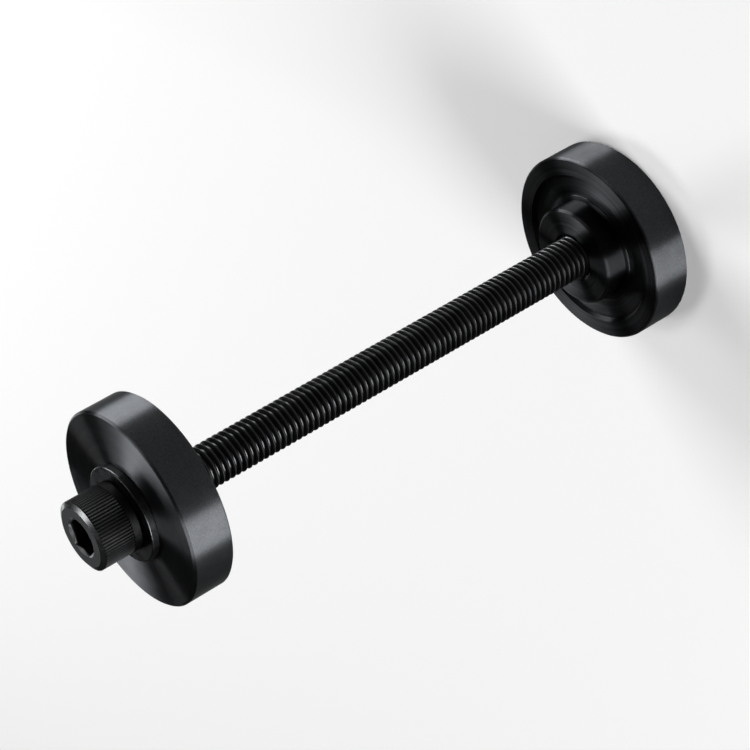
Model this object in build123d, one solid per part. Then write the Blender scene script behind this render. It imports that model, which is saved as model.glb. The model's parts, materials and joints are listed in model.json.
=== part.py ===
from build123d import *
import os
from math import cos, pi, radians, sin, tan

# Press tool for press-fit bottom bracket cups. It stands on the flat back of its
# threaded disc, with the bolt upright on the Z axis and its head at the top.
# The origin is the middle of that back face. All sizes are in millimetres.

# Bolt with a knurled socket head, drawn at the thread's outer diameter
bolt_length = 140.0
rod_diameter = 10.0
rod_end_chamfer = 1.0
head_diameter = 16.0
head_height = 10.0
head_edge_width = 1.15
head_edge_height = 0.6
head_foot_chamfer = 0.35
knurl_teeth = 70
knurl_depth = 0.28
knurl_foot = 2.0
knurl_runout = 0.25
hex_across_flats = 8.0
hex_depth = 5.5
hex_turn = 97.5
hex_mouth_diameter = 9.1
drill_point_angle = 120.0

# How far the rod's end lies inside the back face of the threaded disc
rod_end_recess = 2.0

# Washer under the head
washer_diameter = 22.0
washer_bore = 10.5
washer_thickness = 2.0
washer_edge_chamfer = 0.2

# Pressing discs, which share one turned form and differ in their bore
disc_diameter = 45.5
disc_thickness = 10.0
disc_edge_chamfer = 0.5
boss_diameter = 23.8
boss_height = 4.5
boss_edge_chamfer = 0.6
recess_diameter = 36.0
recess_depth = 1.0
recess_wall_slope = 0.6
shoulder_diameter = 26.4
shoulder_height = 0.3
shoulder_edge = 0.12
boss_foot_radius = 0.2
mouth_diameter = 12.0

# Clearances between the rod and the two bores, on the diameter
guide_clearance = 0.2
thread_clearance = 0.1

# Heights along the bolt that follow from the sizes above
under_head = bolt_length + rod_end_recess
guide_outer_face = under_head - washer_thickness


def ring_of(points):
    """Solid turned about Z from a closed outline of (radius, height) points."""
    outline = Polyline(*[(r, 0, z) for r, z in points], close=True)
    return revolve(make_face(outline), Axis.Z)


def disc_outline(bore):
    """Outline of a pressing disc with its back on Z = 0 and its boss upwards."""
    back_bevel = (mouth_diameter - bore) / 2
    boss_top = disc_thickness + boss_height
    floor = disc_thickness - recess_depth
    rim = disc_diameter / 2
    boss = boss_diameter / 2
    shoulder = shoulder_diameter / 2
    recess = recess_diameter / 2
    return [
        (bore / 2, back_bevel),
        (mouth_diameter / 2, 0),
        (rim - disc_edge_chamfer, 0),
        (rim, disc_edge_chamfer),
        (rim, disc_thickness - disc_edge_chamfer),
        (rim - disc_edge_chamfer, disc_thickness),
        (recess + recess_wall_slope, disc_thickness),
        (recess, floor),
        (shoulder, floor),
        (shoulder, floor + shoulder_height - shoulder_edge),
        (shoulder - shoulder_edge, floor + shoulder_height),
        (boss + boss_foot_radius, floor + shoulder_height),
        (boss, floor + shoulder_height + boss_foot_radius),
        (boss, boss_top - boss_edge_chamfer),
        (boss - boss_edge_chamfer, boss_top),
        (mouth_diameter / 2, boss_top),
        (bore / 2, boss_top - back_bevel),
    ]


def make_threaded_disc():
    """Lower disc, which stands on its back and is drawn along the bolt's thread."""
    return ring_of(disc_outline(rod_diameter + thread_clearance))


def make_guide_disc():
    """Upper disc, turned over so that its boss faces the threaded disc."""
    disc = ring_of(disc_outline(rod_diameter + guide_clearance))
    return Pos(0, 0, guide_outer_face) * Rot(180, 0, 0) * disc


def make_washer():
    """Flat washer between the bolt head and the guide disc."""
    middle = under_head - washer_thickness / 2
    disc = Cylinder(washer_diameter / 2, washer_thickness)
    bore = Cylinder(washer_bore / 2, washer_thickness)
    washer = disc - bore
    rims = washer.edges().filter_by(GeomType.CIRCLE).sort_by(SortBy.RADIUS)[-2:]
    washer = chamfer(rims, washer_edge_chamfer)
    return Pos(0, 0, middle) * washer


def knurl_outline():
    """Closed ring of V-shaped teeth, one point at each crest and each root."""
    crest = head_diameter / 2
    root = crest - knurl_depth
    half_pitch = pi / knurl_teeth
    points = []
    for step in range(2 * knurl_teeth):
        radius = crest if step % 2 == 0 else root
        angle = step * half_pitch
        points.append((radius * cos(angle), radius * sin(angle)))
    return Polyline(*points, close=True)


def make_head():
    """Socket head with its knurl, plain foot, turned top edge and hexagon."""
    top = under_head + head_height
    crest = head_diameter / 2
    knurl_start = under_head + knurl_foot
    teeth = extrude(Pos(0, 0, knurl_start) * make_face(knurl_outline()), top - knurl_start)
    turned = ring_of([
        (0, under_head),
        (crest - head_foot_chamfer, under_head),
        (crest, under_head + head_foot_chamfer),
        (crest, top - head_edge_height),
        (crest - head_edge_width, top),
        (0, top),
    ])
    foot = ring_of([
        (0, under_head),
        (crest - head_foot_chamfer, under_head),
        (crest, under_head + head_foot_chamfer),
        (crest, knurl_start),
        (crest - knurl_depth, knurl_start + knurl_runout),
        (0, knurl_start + knurl_runout),
    ])
    return foot + (teeth & turned)


def make_hex_socket():
    """Hexagonal hole with a bevelled mouth and a drilled point at its bottom."""
    top = under_head + head_height
    floor = top - hex_depth
    inner = hex_across_flats / 2
    mouth = hex_mouth_diameter / 2
    lead = mouth - inner
    corner = inner / cos(radians(30))
    hexagon = Rot(0, 0, hex_turn) * RegularPolygon(corner, 6)
    hole = extrude(Pos(0, 0, floor) * hexagon, hex_depth)
    bevel = ring_of([(0, top), (mouth, top), (inner, top - lead), (0, top - lead)])
    point_depth = inner / tan(radians(drill_point_angle / 2))
    point = ring_of([(0, floor), (inner, floor), (0, floor - point_depth)])
    return hole + bevel + point


def make_bolt():
    """Bolt of one piece: the head with its socket and the rod down to its end."""
    end = rod_end_recess
    radius = rod_diameter / 2
    rod = ring_of([
        (0, end),
        (radius - rod_end_chamfer, end),
        (radius, end + rod_end_chamfer),
        (radius, under_head),
        (0, under_head),
    ])
    return make_head() + rod - make_hex_socket()


pieces = {
    "bolt": make_bolt(),
    "washer": make_washer(),
    "guide_disc": make_guide_disc(),
    "threaded_disc": make_threaded_disc(),
}

os.makedirs("parts", exist_ok=True)
for name, piece in pieces.items():
    solid = piece.solid()
    solid.label = name
    export_step(solid, f"parts/{name}.step")
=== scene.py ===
"""Press tool for the bearing cups of a bicycle frame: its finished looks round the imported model."""

import json
from math import atan2, cos, pi, radians, sin, tan
from typing import NamedTuple

import bmesh
import bpy
from bpy.props import (
    FloatProperty,
    FloatVectorProperty,
    IntProperty,
    PointerProperty,
)
from bpy.types import Operator, Panel, PropertyGroup
from mathutils import Matrix, Vector

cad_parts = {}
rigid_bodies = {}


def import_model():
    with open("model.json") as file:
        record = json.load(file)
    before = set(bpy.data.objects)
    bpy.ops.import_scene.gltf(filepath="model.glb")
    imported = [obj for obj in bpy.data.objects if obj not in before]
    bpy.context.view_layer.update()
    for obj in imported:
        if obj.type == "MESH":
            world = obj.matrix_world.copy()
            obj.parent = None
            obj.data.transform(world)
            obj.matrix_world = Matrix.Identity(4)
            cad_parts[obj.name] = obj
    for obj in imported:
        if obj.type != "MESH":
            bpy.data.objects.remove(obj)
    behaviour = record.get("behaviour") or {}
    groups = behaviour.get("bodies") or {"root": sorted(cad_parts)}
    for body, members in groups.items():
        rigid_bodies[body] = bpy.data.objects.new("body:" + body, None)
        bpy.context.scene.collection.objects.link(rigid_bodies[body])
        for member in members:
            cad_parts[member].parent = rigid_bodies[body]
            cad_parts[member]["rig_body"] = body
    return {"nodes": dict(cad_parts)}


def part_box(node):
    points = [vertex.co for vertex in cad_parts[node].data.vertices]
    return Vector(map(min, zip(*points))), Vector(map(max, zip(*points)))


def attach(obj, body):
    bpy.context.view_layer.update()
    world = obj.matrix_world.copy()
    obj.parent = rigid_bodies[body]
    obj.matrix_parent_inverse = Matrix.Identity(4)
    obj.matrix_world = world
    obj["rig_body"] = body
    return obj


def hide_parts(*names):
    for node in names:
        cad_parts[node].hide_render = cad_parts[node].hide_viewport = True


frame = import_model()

bl_info = {
    "name": "Bearing cup press tool",
    "version": (1, 0, 0),
    "blender": (4, 5, 0),
    "location": "View3D > Sidebar > Press Tool",
    "description": "Models a threaded press tool with two stepped discs, a washer and a knurled bolt",
    "category": "Object",
}

MM = 0.001
FULL_TURN = 2 * pi

# Points nearer than this are one, and edges sharper than this stay sharp
WELD = 1e-6
SHARP_ANGLE = radians(24)

# Width over which one finish turns into the next at an edge
FINE_EDGE = 0.03 * MM

# Brightest tone of a colour, and the colour sockets of a Mix node
BRIGHTEST = 8.0
MIX_FACTOR, MIX_FIRST, MIX_SECOND, MIX_RESULT = 0, 6, 7, 2

# Steps round the Z axis in which each turned form is made
THREAD_STEPS = 60
SOCKET_STEPS = 96
DISC_STEPS = 256
WASHER_STEPS = 192


class SoftBox(NamedTuple):
    """A lamp that points at the middle of the tool, in degrees, metres and watts."""

    name: str
    bearing: float
    rise: float
    distance: float
    width: float
    height: float
    power: float


SOFT_BOXES = (
    SoftBox("right_strip", bearing=212, rise=6, distance=1.1, width=0.80, height=0.20, power=26.0),
    SoftBox("left_strip", bearing=13, rise=4, distance=1.1, width=0.70, height=0.18, power=22.0),
    SoftBox("face_lamp", bearing=81, rise=47, distance=1.2, width=0.28, height=0.28, power=3.6),
    SoftBox("back_strip", bearing=68, rise=6, distance=1.2, width=0.40, height=0.25, power=2.8),
    SoftBox("overhead", bearing=38, rise=63, distance=1.4, width=0.40, height=0.40, power=3.6),
    SoftBox("socket_glint", bearing=205, rise=58, distance=1.4, width=0.50, height=0.50, power=0.8),
)

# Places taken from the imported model
BOLT_LOW, BOLT_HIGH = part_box("bolt")
WASHER_LOW, WASHER_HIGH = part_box("washer")
GUIDE_LOW, GUIDE_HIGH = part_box("guide_disc")
THREADED_LOW, THREADED_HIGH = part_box("threaded_disc")


def length(name, description, default):
    """A property for a size in metres, which the panel shows in the scene's unit."""
    return FloatProperty(
        name=name, description=description, default=default, unit="LENGTH", precision=5
    )


def degrees(name, description, default):
    """A property for an angle, given in degrees."""
    return FloatProperty(
        name=name, description=description, default=radians(default), subtype="ANGLE"
    )


def share(name, description, default):
    """A property for a number from 0 to 1."""
    return FloatProperty(
        name=name, description=description, default=default, min=0, max=1, subtype="FACTOR"
    )


def tone(name, description, default):
    """A property for a brightness that multiplies a colour."""
    return FloatProperty(
        name=name, description=description, default=default, min=0, max=BRIGHTEST
    )


def colour(name, description, default):
    """A property for a colour."""
    return FloatVectorProperty(
        name=name, description=description, default=default, min=0, max=1, size=3, subtype="COLOR"
    )


class BoltSizes(PropertyGroup):
    """Sizes of the bolt that draws the two discs together."""

    head_diameter: length("Head diameter", "Over the crests of the knurl", 2 * BOLT_HIGH.x)
    head_edge_width: length("Head edge width", "Radial width of the bevel round the head's top", 1.15 * MM)
    head_edge_height: length("Head edge height", "Height of that bevel", 0.6 * MM)
    foot_bevel: length("Foot bevel", "Bevel under the head", 0.35 * MM)
    foot_height: length("Foot height", "Plain band below the knurl", 2.0 * MM)
    knurl_teeth: IntProperty(name="Knurl teeth", description="Ridges round the head", default=70, min=12)
    knurl_depth: length("Knurl depth", "From crest to root of the knurl", 0.28 * MM)
    knurl_runout: length("Knurl run-out", "Height over which the knurl ends", 0.1 * MM)
    socket_width: length("Socket width", "Across the flats of the hexagon", 8.0 * MM)
    socket_depth: length("Socket depth", "Depth of the hexagon below the head's top", 5.5 * MM)
    socket_mouth: length("Socket mouth", "Diameter of the bevel at the socket's mouth", 9.1 * MM)
    socket_turn: degrees("Socket turn", "Angle of one corner of the hexagon", 97.5)
    drill_angle: degrees("Drill angle", "Full angle of the drilled point in the socket", 120)
    rod_diameter: length("Rod diameter", "Over the crests of the thread", 10.0 * MM)
    thread_pitch: length("Thread pitch", "Rise of the thread in one turn", 1.5 * MM)
    thread_depth: length("Thread depth", "From crest to root of the thread", 0.92 * MM)
    thread_turn: degrees("Thread turn", "Angle at which a crest passes the rod's lower end", 120)
    end_bevel: length("End bevel", "Bevel at the rod's lower end", 1.0 * MM)
    neck_diameter: length("Neck diameter", "Plain neck between thread and head", 8.6 * MM)
    neck_height: length("Neck height", "Length of that neck below the head", 1.6 * MM)


class WasherSizes(PropertyGroup):
    """Sizes of the flat washer under the head."""

    diameter: length("Diameter", "Outer diameter", 2 * WASHER_HIGH.x)
    bore: length("Bore", "Diameter of the hole", 10.5 * MM)
    edge_radius: length("Edge radius", "Rounding of the outer edges", 0.3 * MM)
    bore_bevel: length("Bore bevel", "Bevel of the hole's edges", 0.15 * MM)


class DiscSizes(PropertyGroup):
    """Sizes of the form that both pressing discs share."""

    diameter: length("Diameter", "Outer diameter", 2 * THREADED_HIGH.x)
    thickness: length("Thickness", "Thickness of the rim", 10.0 * MM)
    edge_bevel: length("Edge bevel", "Bevel of the rim's edges", 0.5 * MM)
    recess_diameter: length("Recess diameter", "Foot of the recess wall", 36.0 * MM)
    recess_depth: length("Recess depth", "Depth of the recess round the boss", 1.0 * MM)
    recess_slope: length("Recess slope", "How far the recess wall leans outwards", 0.6 * MM)
    shoulder_diameter: length("Shoulder diameter", "Low step round the boss", 26.4 * MM)
    shoulder_height: length("Shoulder height", "Height of that step", 0.3 * MM)
    shoulder_edge: length("Shoulder edge", "Bevel of that step", 0.12 * MM)
    boss_diameter: length("Boss diameter", "Boss that centres a bearing", 23.8 * MM)
    boss_edge: length("Boss edge", "Bevel of the boss", 0.6 * MM)
    boss_foot: length("Boss foot", "Rounding at the foot of the boss", 0.2 * MM)
    mouth_diameter: length("Mouth diameter", "Countersink at both ends of the bore", 12.0 * MM)
    guide_bore: length("Guide bore", "Plain bore of the guide disc", 10.2 * MM)
    thread_gap: length("Thread gap", "Gap between the two threads, on the radius", 0.05 * MM)
    edge_break: length("Edge break", "Fine rounding of the turned edges", 0.05 * MM)


class Finishes(PropertyGroup):
    """Colours and textures of the blackened steel, with painted sheen, highlights and shade on some of its
    parts.
    """

    disc_colour: colour("Disc colour", "Blackened, finely turned steel", (0.0350, 0.0365, 0.0390))
    # Rim tone: the rims are painted brighter, a painted sheen that stands in for their highlight bands.
    rim_painted_sheen: tone("Rim tone", "Brightness of the discs' rims", 1.25)
    # Back tone: the backs are painted brighter than the fronts, a painted sheen.
    back_painted_sheen: tone("Back tone", "Brightness of the discs' satin backs", 2.0)
    # Wall tone: the walls of the boss and the recess are painted darker to dim their highlights, a painted
    # shade.
    wall_painted_shade: tone("Wall tone", "Brightness of the boss's smooth wall", 0.3)
    front_tone: tone("Front tone", "Brightness of the discs' freshly turned fronts", 0.6)
    disc_roughness: share("Disc roughness", "Roughness along the turning marks", 0.40)
    bolt_colour: colour("Bolt colour", "Blackened rolled steel", (0.0490, 0.0505, 0.0520))
    bolt_roughness: share("Bolt roughness", "Roughness of the bolt", 0.32)
    # Groove tone: painted shade towards the bottom of the thread.
    groove_painted_shade: tone("Groove tone", "Brightness at the bottom of the thread", 0.35)
    # Head side tone: painted shade on the knurled side, darker still in its grooves.
    head_side_painted_shade: tone("Head side tone", "Brightness of the head's knurled side", 0.55)
    # Head foot tone: painted shade on the plain band just above the washer.
    head_foot_painted_shade: tone("Head foot tone", "Brightness of the plain band below the knurl", 0.3)
    head_top_tone: tone("Head top tone", "Brightness of the head's sandy top", 1.0)
    # Socket bevel tone: a painted highlight on the socket's bevel.
    socket_bevel_painted_highlight: tone("Socket bevel tone", "Brightness of the socket's worn bevel", 5.5)
    # Head bevel tone: a painted highlight on the bevel round the head.
    head_bevel_painted_highlight: tone("Head bevel tone", "Brightness of the rubbed bevel round it", 3.0)
    washer_colour: colour("Washer colour", "Blackened stamped steel", (0.0390, 0.0405, 0.0420))
    washer_roughness: share("Washer roughness", "Roughness of the washer", 0.30)
    grazing_tint: share("Grazing tint", "How much the black layer mirrors at a grazing angle", 0.5)
    turning: share("Turning", "How much the turning marks stretch a highlight", 1.0)
    mark_spacing: length("Mark spacing", "Typical spacing of the turning marks", 0.22 * MM)
    mark_depth: length("Mark depth", "Depth of the turning marks", 0.004 * MM)
    sand_depth: length("Sand depth", "Depth of the bolt's sandy texture", 0.004 * MM)
    pit_depth: length("Pit depth", "Depth of the washer's pits", 0.006 * MM)


class Studio(PropertyGroup):
    """Floor, lamps and camera."""

    floor_radius: length("Floor radius", "Size of the floor", 6.0)
    floor_colour: colour("Floor colour", "Colour of the floor", (0.92, 0.92, 0.92))
    world_strength: FloatProperty(
        name="World strength", description="Strength of the soft fill", default=0.045, min=0
    )
    camera_place: FloatVectorProperty(
        name="Camera place",
        description="Where the camera stands",
        default=(-0.55 * MM, -487.27 * MM, 334.49 * MM),
        unit="LENGTH",
        subtype="TRANSLATION",
        precision=5,
    )
    camera_turn: degrees("Camera turn", "Turn of the camera about the vertical", 0.05)
    camera_fall: degrees("Camera fall", "How far the camera looks below the horizon", 28.1)
    camera_roll: degrees("Camera roll", "Turn of the picture, which lays the tool down", -119.77)
    camera_lens: FloatProperty(
        name="Camera lens",
        description="Focal length in millimetres",
        default=121.45,
        subtype="DISTANCE_CAMERA",
    )


class PressTool(PropertyGroup):
    """All the settings of the press tool."""

    bolt: PointerProperty(type=BoltSizes)
    washer: PointerProperty(type=WasherSizes)
    disc: PointerProperty(type=DiscSizes)
    finish: PointerProperty(type=Finishes)
    studio: PointerProperty(type=Studio)


class Socket:
    """A number or colour in a material, so that its maths reads as Python."""

    def __init__(self, finish, output):
        self.finish = finish
        self.output = output

    def maths(self, operation, *values):
        """Adds one Math node."""
        return self.finish.node("ShaderNodeMath", {"operation": operation}, dict(enumerate(values)))

    def __add__(self, other):
        return self.maths("ADD", self, other)

    def __radd__(self, other):
        return self.maths("ADD", other, self)

    def __sub__(self, other):
        return self.maths("SUBTRACT", self, other)

    def __rsub__(self, other):
        return self.maths("SUBTRACT", other, self)

    def __mul__(self, other):
        return self.maths("MULTIPLY", self, other)

    def __rmul__(self, other):
        return self.maths("MULTIPLY", other, self)

    def __truediv__(self, other):
        return self.maths("DIVIDE", self, other)

    def __pow__(self, other):
        return self.maths("POWER", self, other)

    def __abs__(self):
        return self.maths("ABSOLUTE", self)


class Finish:
    """A material under construction."""

    def __init__(self, name):
        self.material = bpy.data.materials.new(name)
        self.material.use_nodes = True
        self.tree = self.material.node_tree
        self.tree.nodes.clear()

    def node(self, kind, settings=None, inputs=None, output=0):
        """Makes any node: its settings first, then the values or links of its sockets."""
        made = self.tree.nodes.new(kind)
        for name, value in (settings or {}).items():
            setattr(made, name, value)
        for name, value in (inputs or {}).items():
            if isinstance(value, Socket):
                self.tree.links.new(value.output, made.inputs[name])
            else:
                made.inputs[name].default_value = value
        return Socket(self, made.outputs[output]) if made.outputs else made

    def place(self):
        """The object's own X, Y and Z in metres."""
        point = self.node("ShaderNodeTexCoord", output="Object")
        split = self.node("ShaderNodeSeparateXYZ", inputs={0: point}).output.node
        return [Socket(self, split.outputs[axis]) for axis in "XYZ"]

    def vector(self, x, y, z):
        """Three numbers as one vector."""
        return self.node("ShaderNodeCombineXYZ", inputs={"X": x, "Y": y, "Z": z})

    def noise(self, vector, scale, detail, roughness, turn=None):
        """Cloudy noise from about -0.5 to 0.5; turn is a fourth coordinate."""
        settings = {"noise_dimensions": "3D" if turn is None else "4D"}
        inputs = {"Vector": vector, "Scale": scale, "Detail": detail, "Roughness": roughness}
        if turn is not None:
            inputs["W"] = turn
        return self.node("ShaderNodeTexNoise", settings, inputs, "Fac") - 0.5

    def rise(self, value, low, high):
        """Goes smoothly from 0 to 1 as a value goes from low to high."""
        settings = {"interpolation_type": "SMOOTHSTEP"}
        inputs = {"Value": value, "From Min": low, "From Max": high}
        return self.node("ShaderNodeMapRange", settings, inputs)

    def band(self, value, low, high, soft):
        """1 between two values and 0 outside them, with a soft edge inside each."""
        return self.rise(value, low, low + soft) * (1 - self.rise(value, high - soft, high))

    def between(self, low, high, amount):
        """Goes from one number to another as the amount goes from 0 to 1."""
        return low + (high - low) * amount

    def shade(self, colour, brightness):
        """The colour times a brightness from 0 to BRIGHTEST."""
        black = (0, 0, 0, 1)
        full = (*(channel * BRIGHTEST for channel in colour), 1)
        inputs = {MIX_FACTOR: brightness / BRIGHTEST, MIX_FIRST: black, MIX_SECOND: full}
        return self.node("ShaderNodeMix", {"data_type": "RGBA"}, inputs, MIX_RESULT)

    def bump(self, depth, height):
        """A normal that follows a height of about -0.5 to 0.5, over a depth in metres."""
        return self.node("ShaderNodeBump", inputs={"Strength": 1.0, "Distance": depth, "Height": height})

    def surface(self, inputs):
        """Closes the material with one principled shader."""
        shader = self.node("ShaderNodeBsdfPrincipled", inputs=inputs)
        self.node("ShaderNodeOutputMaterial", inputs={"Surface": shader})
        return self.material


def turned_black_steel(settings, sizes):
    """Black oxide over turned steel: marked fronts, a painted sheen on the backs and the grainy rim, and
    painted shade on the walls of boss and recess.
    """
    finish = Finish("turned_black_steel")
    x, y, z = finish.place()
    place = finish.vector(x, y, z)
    radius = (x * x + y * y) ** 0.5

    outside = sizes.diameter / 2
    middle = GUIDE_HIGH.z / 2
    bevel = sizes.edge_bevel
    rim = finish.rise(radius, outside - bevel, outside - 0.3 * bevel)
    back = finish.rise(abs(z - middle), middle - bevel, middle - 0.3 * bevel) * (1 - rim)
    boss = sizes.boss_diameter / 2
    recess = sizes.recess_diameter / 2
    recess_top = recess + sizes.recess_slope
    foot = sizes.boss_foot
    # Mask of the walls of boss and recess, which the wall tone darkens with painted shade.
    boss_wall = finish.band(radius, boss - foot, boss + foot, 0.7 * foot)
    recess_wall = finish.band(radius, recess - 0.2 * foot, recess_top + 0.2 * foot, 0.4 * foot)
    wall = (boss_wall + recess_wall) * (1 - back)
    front = (1 - rim) * (1 - back) * (1 - wall)

    close = 1 / settings.mark_spacing
    around = 45.0
    across = finish.vector(radius * close, z * close, x * around)
    marks = finish.noise(across, scale=1.0, detail=3.0, roughness=0.65, turn=y * around)
    streaks = finish.noise(across, scale=0.35, detail=2.0, roughness=0.6, turn=y * around)
    clouds = finish.noise(place, scale=170.0, detail=4.0, roughness=0.6)
    grain = finish.noise(place, scale=3200.0, detail=2.0, roughness=0.6)

    # Painted sheen on the backs and the rim, and painted shade on the walls, set by their tones.
    faces = settings.front_tone * front + settings.back_painted_sheen * back
    tones = faces + settings.rim_painted_sheen * rim + settings.wall_painted_shade * wall
    turned = streaks * (2.4 * front + 0.5 * back) + marks * (0.8 * front + 0.4 * back)
    rubbed = clouds * 0.7 + grain * (1.1 * rim + 0.4 * back)
    gloss = clouds * 0.14 + streaks * 0.12 * front - 0.04 * front
    return finish.surface({
        "Base Color": finish.shade(settings.disc_colour, tones * (1 + turned + rubbed)),
        "Metallic": 1.0,
        "Roughness": settings.disc_roughness + gloss,
        "Specular Tint": (*(settings.grazing_tint,) * 3, 1),
        "Anisotropic": settings.turning,
        "Anisotropic Rotation": 0.25,
        "Normal": finish.bump(settings.mark_depth, marks * 0.75 + grain * (0.1 + 0.3 * rim)),
    })


def rolled_black_steel(settings, sizes):
    """Black oxide over a rolled thread and knurl: painted shade in the thread's roots, on the knurled side
    and its grooves and on the band above the washer, and painted highlights on the bevels round the head
    and its socket.
    """
    finish = Finish("rolled_black_steel")
    x, y, z = finish.place()
    place = finish.vector(x, y, z)
    radius = (x * x + y * y) ** 0.5
    clouds = finish.noise(place, scale=260.0, detail=4.0, roughness=0.6)
    sand = finish.noise(place, scale=2400.0, detail=3.0, roughness=0.65)

    under_head = WASHER_HIGH.z
    bevel_foot = BOLT_HIGH.z - sizes.head_edge_height
    on_head = finish.rise(z, under_head - FINE_EDGE, under_head)
    on_top = finish.rise(z, bevel_foot - FINE_EDGE, bevel_foot + FINE_EDGE)
    head = sizes.head_diameter / 2
    knurl_root = head - sizes.knurl_depth
    bevel_top = head - sizes.head_edge_width
    mouth = sizes.socket_mouth / 2
    on_side = finish.rise(radius, knurl_root - 3 * FINE_EDGE, knurl_root) * (1 - on_top)
    on_bevel = finish.rise(radius, bevel_top - 3 * FINE_EDGE, bevel_top) * on_top
    on_mouth = (1 - finish.rise(radius, mouth, mouth + FINE_EDGE)) * on_top

    rod = sizes.rod_diameter / 2
    foot_top = under_head + sizes.foot_height
    thread = finish.rise(radius, rod - sizes.thread_depth, rod)
    knurl = finish.rise(radius, knurl_root, head)
    above_foot = finish.rise(z, foot_top, foot_top + 5 * sizes.knurl_runout)

    # Painted shade: the thread darkens towards its roots.
    rod_painted_shade = finish.between(settings.groove_painted_shade, 1, thread)
    # Painted shade over the knurled side, darker in the knurl's grooves.
    knurl_painted_shade = settings.head_side_painted_shade * finish.between(0.55, 1, knurl)
    # Painted shade on the plain band above the washer.
    side_tone = finish.between(settings.head_foot_painted_shade, knurl_painted_shade, above_foot)
    # Painted highlight on the bevel round the head.
    flat_tone = finish.between(settings.head_top_tone, settings.head_bevel_painted_highlight, on_bevel)
    # Painted highlight on the socket's bevel.
    top_tone = finish.between(flat_tone, settings.socket_bevel_painted_highlight, on_mouth)
    head_tone = finish.between(top_tone, side_tone, on_side)
    tones = finish.between(rod_painted_shade, head_tone, on_head)
    sandy = on_head * (1 - on_side) * (0.14 - 0.2 * on_bevel - 0.06 * on_mouth)
    return finish.surface({
        "Base Color": finish.shade(settings.bolt_colour, tones * (1 + clouds * 0.7 + sand * 0.7)),
        "Metallic": 1.0,
        "Roughness": settings.bolt_roughness + clouds * 0.2 + sandy,
        "Specular Tint": (*(settings.grazing_tint,) * 3, 1),
        "Normal": finish.bump(settings.sand_depth, sand),
    })


def stamped_black_steel(settings):
    """Black oxide over a stamped washer, dulled by tumbling."""
    finish = Finish("stamped_black_steel")
    place = finish.vector(*finish.place())
    clouds = finish.noise(place, scale=420.0, detail=3.0, roughness=0.6)
    pits = finish.noise(place, scale=2600.0, detail=3.0, roughness=0.7)
    return finish.surface({
        "Base Color": finish.shade(settings.washer_colour, 1 + clouds * 0.8 + pits * 0.4),
        "Metallic": 1.0,
        "Roughness": settings.washer_roughness + clouds * 0.2,
        "Specular Tint": (*(settings.grazing_tint,) * 3, 1),
        "Normal": finish.bump(settings.pit_depth, pits),
    })


def pale_floor(studio):
    """Plain pale floor."""
    return Finish("pale_floor").surface({
        "Base Color": (*studio.floor_colour, 1),
        "Roughness": 0.9,
        "Specular IOR Level": 0.1,
    })


def spun(bm, points, steps, closed=False, lead=0.0):
    """Turns an outline of (radius, height) points about Z; a lead makes it climb as a thread."""
    verts = [bm.verts.new((radius, 0, height)) for radius, height in points]
    following = verts[1:] + verts[:1] if closed else verts[1:]
    edges = [bm.edges.new(pair) for pair in zip(verts, following)]
    bmesh.ops.spin(
        bm,
        geom=verts + edges,
        cent=(0, 0, 0),
        axis=(0, 0, 1),
        dvec=(0, 0, lead / steps),
        angle=FULL_TURN,
        steps=steps,
        use_merge=not lead,
    )
    bmesh.ops.remove_doubles(bm, verts=bm.verts, dist=WELD)


def angle_of(vert):
    """Angle of a vertex about Z."""
    return atan2(vert.co.y, vert.co.x)


def put(vert, angle, radius, height):
    """Moves a vertex to a place given about Z."""
    vert.co = (radius * cos(angle), radius * sin(angle), height)


def ring(bm, angles, place):
    """Starts a closed ring of edges, with a vertex at each angle, where place puts it."""
    circle = bmesh.ops.create_circle(bm, cap_ends=False, radius=1.0, segments=len(angles))
    verts = circle["verts"]
    for vert, angle in zip(verts, angles):
        put(vert, angle, *place(angle))
    return list({edge for vert in verts for edge in vert.link_edges})


def grow(bm, edges, place):
    """Extrudes a ring of edges and moves the new ring to where place puts each angle."""
    made = bmesh.ops.extrude_edge_only(bm, edges=edges)["geom"]
    for vert in (part for part in made if isinstance(part, bmesh.types.BMVert)):
        angle = angle_of(vert)
        put(vert, angle, *place(angle))
    return [part for part in made if isinstance(part, bmesh.types.BMEdge) and part.is_boundary]


def at(radius, height):
    """The place of a whole round ring."""
    return lambda angle: (radius, height)


def rim_at(bm, height):
    """The open edges that lie at one height."""
    return [
        edge for edge in bm.edges
        if edge.is_boundary and all(abs(vert.co.z - height) < 10 * WELD for vert in edge.verts)
    ]


def fill_between(bm, edges):
    """Fills the flat ring between an outer and an inner loop of edges at one height."""
    bmesh.ops.triangle_fill(bm, use_beauty=True, use_dissolve=False, edges=edges, normal=(0, 0, 1))


def cut_off(bm, height, keep_above):
    """Cuts away all that lies below a height, or above it."""
    bmesh.ops.bisect_plane(
        bm,
        geom=bm.verts[:] + bm.edges[:] + bm.faces[:],
        dist=WELD,
        plane_co=(0, 0, height),
        plane_no=(0, 0, 1),
        clear_inner=keep_above,
        clear_outer=not keep_above,
    )


def thread_points(low, high, pitch, crest, root, crest_width, root_width):
    """Outline of a thread's ridges, with softened corners, from below low to above high."""
    spare_turns = 2
    turns = int((high - low) / pitch) + 2 * spare_turns + 1
    soft = 0.055 * (crest - root)
    crest_half = crest_width / 2
    flank_foot = (pitch - root_width) / 2
    ridge = [
        (root + soft, -flank_foot),
        (crest - soft, -crest_half - soft / 2),
        (crest, -crest_half / 2),
        (crest, crest_half / 2),
        (crest - soft, crest_half + soft / 2),
        (root + soft, flank_foot),
        (root, pitch / 2),
    ]
    return [
        (radius, low + (turn - spare_turns) * pitch + height)
        for turn in range(turns)
        for radius, height in ridge
    ]


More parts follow.
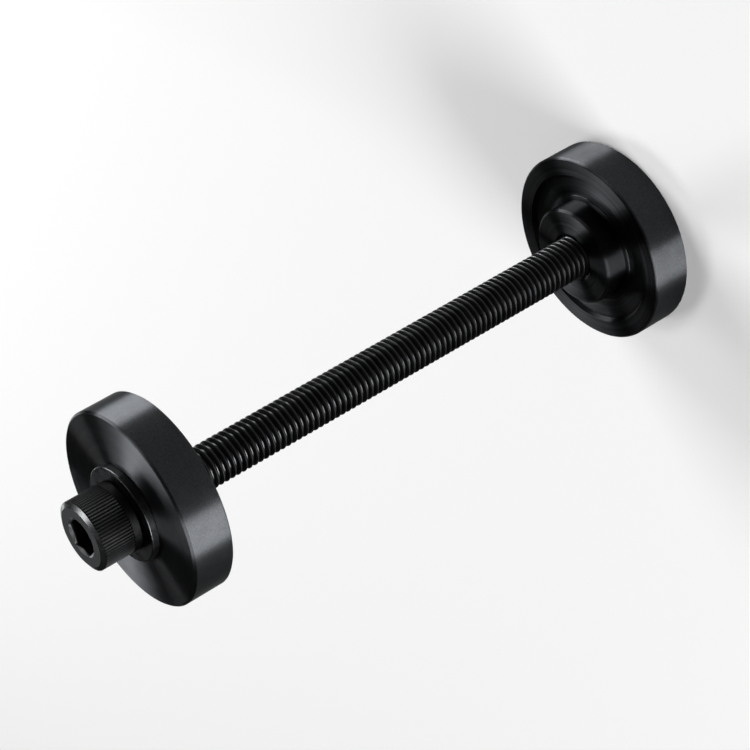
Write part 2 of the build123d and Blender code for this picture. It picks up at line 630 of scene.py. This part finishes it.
def bolt_thread(bm, sizes, low, high):
    """The rod's right-hand thread, with a bevelled end below and a plain neck above."""
    crest = sizes.rod_diameter / 2
    root = crest - sizes.thread_depth
    pitch = sizes.thread_pitch
    neck = sizes.neck_diameter / 2
    neck_start = high - sizes.neck_height
    start = low + pitch * sizes.thread_turn / FULL_TURN
    outline = thread_points(start, high, pitch, crest, root, pitch / 8, pitch / 4)
    spun(bm, outline, THREAD_STEPS, lead=pitch)
    for vert in bm.verts:
        threaded = min(1.0, max(0.0, (neck_start - vert.co.z) / pitch))
        radius = neck + (vert.co.xy.length - neck) * threaded
        bevel = crest - sizes.end_bevel + max(0.0, vert.co.z - low)
        put(vert, angle_of(vert), min(radius, bevel), vert.co.z)
    cut_off(bm, low, keep_above=True)
    cut_off(bm, high, keep_above=False)


def knurl_angles(teeth):
    """Four angles for each tooth: both sides of its crest and of the groove beside it."""
    step = FULL_TURN / teeth
    sides = (-0.09, 0.09, 0.43, 0.57)
    return [(tooth + side) * step for tooth in range(teeth) for side in sides]


def bolt_head(bm, sizes, low, high):
    """The head from its underside, over knurl and bevel, to the bottom of its socket."""
    crest = sizes.head_diameter / 2
    root = crest - sizes.knurl_depth
    foot_top = low + sizes.foot_height
    bevel_foot = high - sizes.head_edge_height
    runout = sizes.knurl_runout

    def knurl(height):
        """The place of a ring that goes over the crests and through the grooves."""
        def place(angle):
            off_crest = abs((angle * sizes.knurl_teeth / FULL_TURN + 0.5) % 1 - 0.5)
            return crest if off_crest < 0.25 else root, height
        return place

    edges = ring(bm, knurl_angles(sizes.knurl_teeth), at(crest - sizes.foot_bevel, low))
    edges = grow(bm, edges, at(crest, low + sizes.foot_bevel))
    edges = grow(bm, edges, at(crest, foot_top))
    edges = grow(bm, edges, knurl(foot_top + runout))
    edges = grow(bm, edges, knurl(bevel_foot - 3 * runout))
    edges = grow(bm, edges, at(crest, bevel_foot))
    rim = grow(bm, edges, at(crest - sizes.head_edge_width, high))
    mouth = hex_socket(bm, sizes, high)
    fill_between(bm, rim + mouth)


def hex_socket(bm, sizes, high):
    """The socket with its bevelled mouth, hexagon and drilled point; returns its mouth's edges."""
    inner = sizes.socket_width / 2
    mouth = sizes.socket_mouth / 2
    floor = high - sizes.socket_depth
    side = FULL_TURN / 6
    tip = floor - inner / tan(sizes.drill_angle / 2)

    def hexagon(angle):
        return inner / cos((angle - sizes.socket_turn) % side - side / 2)

    def bevel_top(angle):
        return max(mouth, hexagon(angle)), high

    def bevel_foot(angle):
        return hexagon(angle), high - max(0.0, mouth - hexagon(angle))

    def hexagon_foot(angle):
        return hexagon(angle), floor

    angles = [sizes.socket_turn + step * FULL_TURN / SOCKET_STEPS for step in range(SOCKET_STEPS)]
    mouth_edges = ring(bm, angles, bevel_top)
    edges = grow(bm, mouth_edges, bevel_foot)
    edges = grow(bm, edges, hexagon_foot)
    edges = grow(bm, edges, at(0.995 * inner, floor))
    for share_left in (0.5, 0.06):
        edges = grow(bm, edges, at(share_left * inner, tip + (floor - tip) * share_left))
    bmesh.ops.edgeloop_fill(bm, edges=edges)
    return mouth_edges


def break_edges(bm, width):
    """Rounds the turned edges finely, as a lathe hand breaks them."""
    turned = [
        edge for edge in bm.edges
        if len(edge.link_faces) == 2 and edge.calc_face_angle() > SHARP_ANGLE
    ]
    bmesh.ops.bevel(
        bm,
        geom=turned,
        offset=width,
        offset_type="OFFSET",
        segments=2,
        profile=0.5,
        affect="EDGES",
        material=-1,
    )


def arc(centre, radius, start, end, steps):
    """Points of an outline's rounding, from one angle to another in degrees."""
    angles = [radians(start + (end - start) * step / steps) for step in range(steps + 1)]
    return [(centre[0] + radius * cos(angle), centre[1] + radius * sin(angle)) for angle in angles]


def disc_points(sizes, boss_height, inner):
    """Outline of a disc that lies on its back, from the top of its boss outwards and round."""
    rim = sizes.diameter / 2
    boss = sizes.boss_diameter / 2
    recess = sizes.recess_diameter / 2
    shoulder = sizes.shoulder_diameter / 2
    top = sizes.thickness
    floor = top - sizes.recess_depth
    step = floor + sizes.shoulder_height
    edge = sizes.edge_bevel
    foot = sizes.boss_foot
    return [
        (inner, boss_height),
        (boss - sizes.boss_edge, boss_height),
        (boss, boss_height - sizes.boss_edge),
        *arc((boss + foot, step + foot), foot, 180, 270, 4),
        (shoulder - sizes.shoulder_edge, step),
        (shoulder, step - sizes.shoulder_edge),
        (shoulder, floor),
        (recess, floor),
        (recess + sizes.recess_slope, top),
        (rim - edge, top),
        (rim, top - edge),
        (rim, edge),
        (rim - edge, 0),
        (inner, 0),
    ]


def bore_thread(bm, sizes, bolt, low, high):
    """The tapped bore, which follows the bolt's own thread a small gap away."""
    gap = sizes.thread_gap
    pitch = bolt.thread_pitch
    crest = bolt.rod_diameter / 2 + gap
    root = bolt.rod_diameter / 2 - 0.54 * pitch
    mouth = sizes.mouth_diameter / 2
    start = BOLT_LOW.z + pitch * bolt.thread_turn / FULL_TURN
    turns_below = int((start - low) / pitch) + 1
    outline = thread_points(
        start - turns_below * pitch, high, pitch, crest, root, pitch / 8 + 2 * gap, pitch / 5
    )
    spun(bm, outline, THREAD_STEPS, lead=pitch)
    for vert in bm.verts:
        depth = min(vert.co.z - low, high - vert.co.z)
        radius = max(vert.co.xy.length, mouth - max(0.0, depth))
        put(vert, angle_of(vert), radius, vert.co.z)
    cut_off(bm, low, keep_above=True)
    cut_off(bm, high, keep_above=False)


def show(bm, name, material, node):
    """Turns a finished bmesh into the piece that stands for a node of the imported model."""
    bmesh.ops.remove_doubles(bm, verts=bm.verts, dist=WELD)
    bmesh.ops.recalc_face_normals(bm, faces=bm.faces)
    for face in bm.faces:
        face.smooth = True
    for edge in bm.edges:
        edge.smooth = len(edge.link_faces) == 2 and edge.calc_face_angle() < SHARP_ANGLE
    open_edges = sum(not edge.is_manifold for edge in bm.edges)
    if open_edges:
        raise RuntimeError(f"{name} has {open_edges} open edges")
    mesh = bpy.data.meshes.new(name)
    bm.to_mesh(mesh)
    bm.free()
    mesh.materials.append(material)
    piece = bpy.data.objects.new(name, mesh)
    bpy.context.scene.collection.objects.link(piece)
    even_shading(piece)
    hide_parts(node)
    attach(piece, frame["nodes"][node]["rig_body"])
    return piece


def even_shading(piece):
    """Lets large faces rule the shading, so that flats stay flat beside fine bevels."""
    modifier = piece.modifiers.new("Even shading", "WEIGHTED_NORMAL")
    modifier.keep_sharp = True
    bpy.context.view_layer.update()
    depsgraph = bpy.context.evaluated_depsgraph_get()
    shaded = bpy.data.meshes.new_from_object(piece.evaluated_get(depsgraph), depsgraph=depsgraph)
    shaded.name = piece.name
    piece.modifiers.clear()
    piece.data = shaded


class OBJECT_OT_press_bolt(Operator):
    """Models the bolt: knurled head, hexagon socket and threaded rod."""

    bl_idname = "object.press_bolt"
    bl_label = "Bolt"

    def execute(self, context):
        tool = context.scene.press_tool
        sizes = tool.bolt
        under_head = WASHER_HIGH.z
        bm = bmesh.new()
        bolt_thread(bm, sizes, BOLT_LOW.z, under_head)
        bmesh.ops.edgeloop_fill(bm, edges=rim_at(bm, BOLT_LOW.z))
        rod_top = rim_at(bm, under_head)
        before = set(rod_top)
        bolt_head(bm, sizes, under_head, BOLT_HIGH.z)
        head_foot = [edge for edge in rim_at(bm, under_head) if edge not in before]
        fill_between(bm, rod_top + head_foot)
        show(bm, "socket_head_bolt", rolled_black_steel(tool.finish, sizes), "bolt")
        return {"FINISHED"}


class OBJECT_OT_press_washer(Operator):
    """Models the flat washer under the head."""

    bl_idname = "object.press_washer"
    bl_label = "Washer"

    def execute(self, context):
        tool = context.scene.press_tool
        sizes = tool.washer
        low, high = WASHER_LOW.z, WASHER_HIGH.z
        outer = sizes.diameter / 2
        bore = sizes.bore / 2
        edge = sizes.edge_radius
        bevel = sizes.bore_bevel
        outline = [
            (bore, low + bevel),
            (bore + bevel, low),
            *arc((outer - edge, low + edge), edge, -90, 0, 5),
            *arc((outer - edge, high - edge), edge, 0, 90, 5),
            (bore + bevel, high),
            (bore, high - bevel),
        ]
        bm = bmesh.new()
        spun(bm, outline, WASHER_STEPS, closed=True)
        show(bm, "flat_washer", stamped_black_steel(tool.finish), "washer")
        return {"FINISHED"}


class OBJECT_OT_press_discs(Operator):
    """Models the two pressing discs, which share one turned form."""

    bl_idname = "object.press_discs"
    bl_label = "Pressing discs"

    def execute(self, context):
        tool = context.scene.press_tool
        material = turned_black_steel(tool.finish, tool.disc)
        self.guide_disc(tool, material)
        self.threaded_disc(tool, material)
        return {"FINISHED"}

    def guide_disc(self, tool, material):
        """The loose disc under the head, turned over so that its boss points down."""
        sizes = tool.disc
        height = GUIDE_HIGH.z - GUIDE_LOW.z
        bore = sizes.guide_bore / 2
        mouth = sizes.mouth_diameter / 2
        outline = disc_points(sizes, height, mouth)
        outline += [(bore, mouth - bore), (bore, height - (mouth - bore))]
        bm = bmesh.new()
        spun(bm, outline, DISC_STEPS, closed=True)
        bmesh.ops.recalc_face_normals(bm, faces=bm.faces)
        break_edges(bm, sizes.edge_break)
        over = Matrix.Translation((0, 0, GUIDE_HIGH.z)) @ Matrix.Rotation(pi, 4, "X")
        bmesh.ops.transform(bm, matrix=over, verts=bm.verts)
        show(bm, "guide_pressing_disc", material, "guide_disc")

    def threaded_disc(self, tool, material):
        """The far disc, tapped through for the bolt."""
        sizes = tool.disc
        low, high = THREADED_LOW.z, THREADED_HIGH.z
        bm = bmesh.new()
        spun(bm, disc_points(sizes, high, sizes.mouth_diameter / 2 + 0.4 * MM), DISC_STEPS)
        bmesh.ops.recalc_face_normals(bm, faces=bm.faces)
        break_edges(bm, sizes.edge_break)
        bore = bmesh.new()
        bore_thread(bore, sizes, tool.bolt, low, high)
        thread = bpy.data.meshes.new("thread")
        bore.to_mesh(thread)
        bore.free()
        bm.from_mesh(thread)
        bpy.data.meshes.remove(thread)
        for height in (low, high):
            fill_between(bm, rim_at(bm, height))
        show(bm, "threaded_pressing_disc", material, "threaded_disc")


class OBJECT_OT_press_stage(Operator):
    """Sets the floor, the lamps and the camera."""

    bl_idname = "object.press_stage"
    bl_label = "Stage"

    def execute(self, context):
        studio = context.scene.press_tool.studio
        self.floor(studio)
        self.light(studio)
        self.camera(context.scene, studio)
        context.scene.view_settings.view_transform = "Standard"
        return {"FINISHED"}

    def floor(self, studio):
        """A wide round floor."""
        bm = bmesh.new()
        bmesh.ops.create_circle(bm, cap_ends=True, radius=studio.floor_radius, segments=96)
        mesh = bpy.data.meshes.new("floor")
        bm.to_mesh(mesh)
        bm.free()
        mesh.materials.append(pale_floor(studio))
        floor = bpy.data.objects.new("floor", mesh)
        bpy.context.scene.collection.objects.link(floor)

    def light(self, studio):
        """The world's soft fill and all the lamps."""
        world = bpy.data.worlds.new("studio")
        world.use_nodes = True
        background = world.node_tree.nodes["Background"]
        background.inputs["Color"].default_value = (1, 1, 1, 1)
        background.inputs["Strength"].default_value = studio.world_strength
        bpy.context.scene.world = world
        for box in SOFT_BOXES:
            self.soft_box(box)

    def soft_box(self, box):
        """One lamp, turned to the middle of the tool."""
        light = bpy.data.lights.new(box.name, "AREA")
        light.shape = "RECTANGLE"
        light.size = box.width
        light.size_y = box.height
        light.energy = box.power
        lamp = bpy.data.objects.new(box.name, light)
        bpy.context.scene.collection.objects.link(lamp)
        bearing = radians(box.bearing)
        rise = radians(box.rise)
        outwards = Vector((cos(bearing) * cos(rise), sin(bearing) * cos(rise), sin(rise)))
        middle = Vector((0, 0, BOLT_HIGH.z / 2))
        place = Matrix.Translation(middle + outwards * box.distance)
        lamp.matrix_world = place @ outwards.to_track_quat("Z", "Y").to_matrix().to_4x4()
        lamp.visible_camera = False

    def camera(self, scene, studio):
        """The photograph's viewpoint."""
        data = bpy.data.cameras.new("camera")
        data.sensor_width = 36.0
        data.lens = studio.camera_lens
        data.clip_start = 0.01
        data.clip_end = 50.0
        camera = bpy.data.objects.new("camera", data)
        scene.collection.objects.link(camera)
        turn = Matrix.Rotation(studio.camera_turn, 4, "Z")
        pitch = Matrix.Rotation(pi / 2 - studio.camera_fall, 4, "X")
        roll = Matrix.Rotation(studio.camera_roll, 4, "Z")
        camera.matrix_world = Matrix.Translation(studio.camera_place) @ turn @ pitch @ roll
        scene.camera = camera


class VIEW3D_PT_press_tool(Panel):
    """Lists the press tool's operators and settings."""

    bl_label = "Press Tool"
    bl_idname = "VIEW3D_PT_press_tool"
    bl_space_type = "VIEW_3D"
    bl_region_type = "UI"
    bl_category = "Press Tool"

    def draw(self, context):
        tool = context.scene.press_tool
        for operator in OPERATORS:
            self.layout.operator(operator.bl_idname)
        for group in (tool.bolt, tool.washer, tool.disc, tool.finish, tool.studio):
            box = self.layout.box()
            for name in type(group).__annotations__:
                box.prop(group, name)


GROUPS = (BoltSizes, WasherSizes, DiscSizes, Finishes, Studio, PressTool)
OPERATORS = (
    OBJECT_OT_press_stage,
    OBJECT_OT_press_bolt,
    OBJECT_OT_press_washer,
    OBJECT_OT_press_discs,
)
CLASSES = (*GROUPS, *OPERATORS, VIEW3D_PT_press_tool)


def register():
    for cls in CLASSES:
        bpy.utils.register_class(cls)
    bpy.types.Scene.press_tool = PointerProperty(type=PressTool)


def unregister():
    del bpy.types.Scene.press_tool
    for cls in reversed(CLASSES):
        bpy.utils.unregister_class(cls)


def main():
    """Builds the whole scene."""
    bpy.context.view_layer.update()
    register()
    bpy.ops.object.press_stage()
    bpy.ops.object.press_bolt()
    bpy.ops.object.press_washer()
    bpy.ops.object.press_discs()


if __name__ == "__main__":
    main()
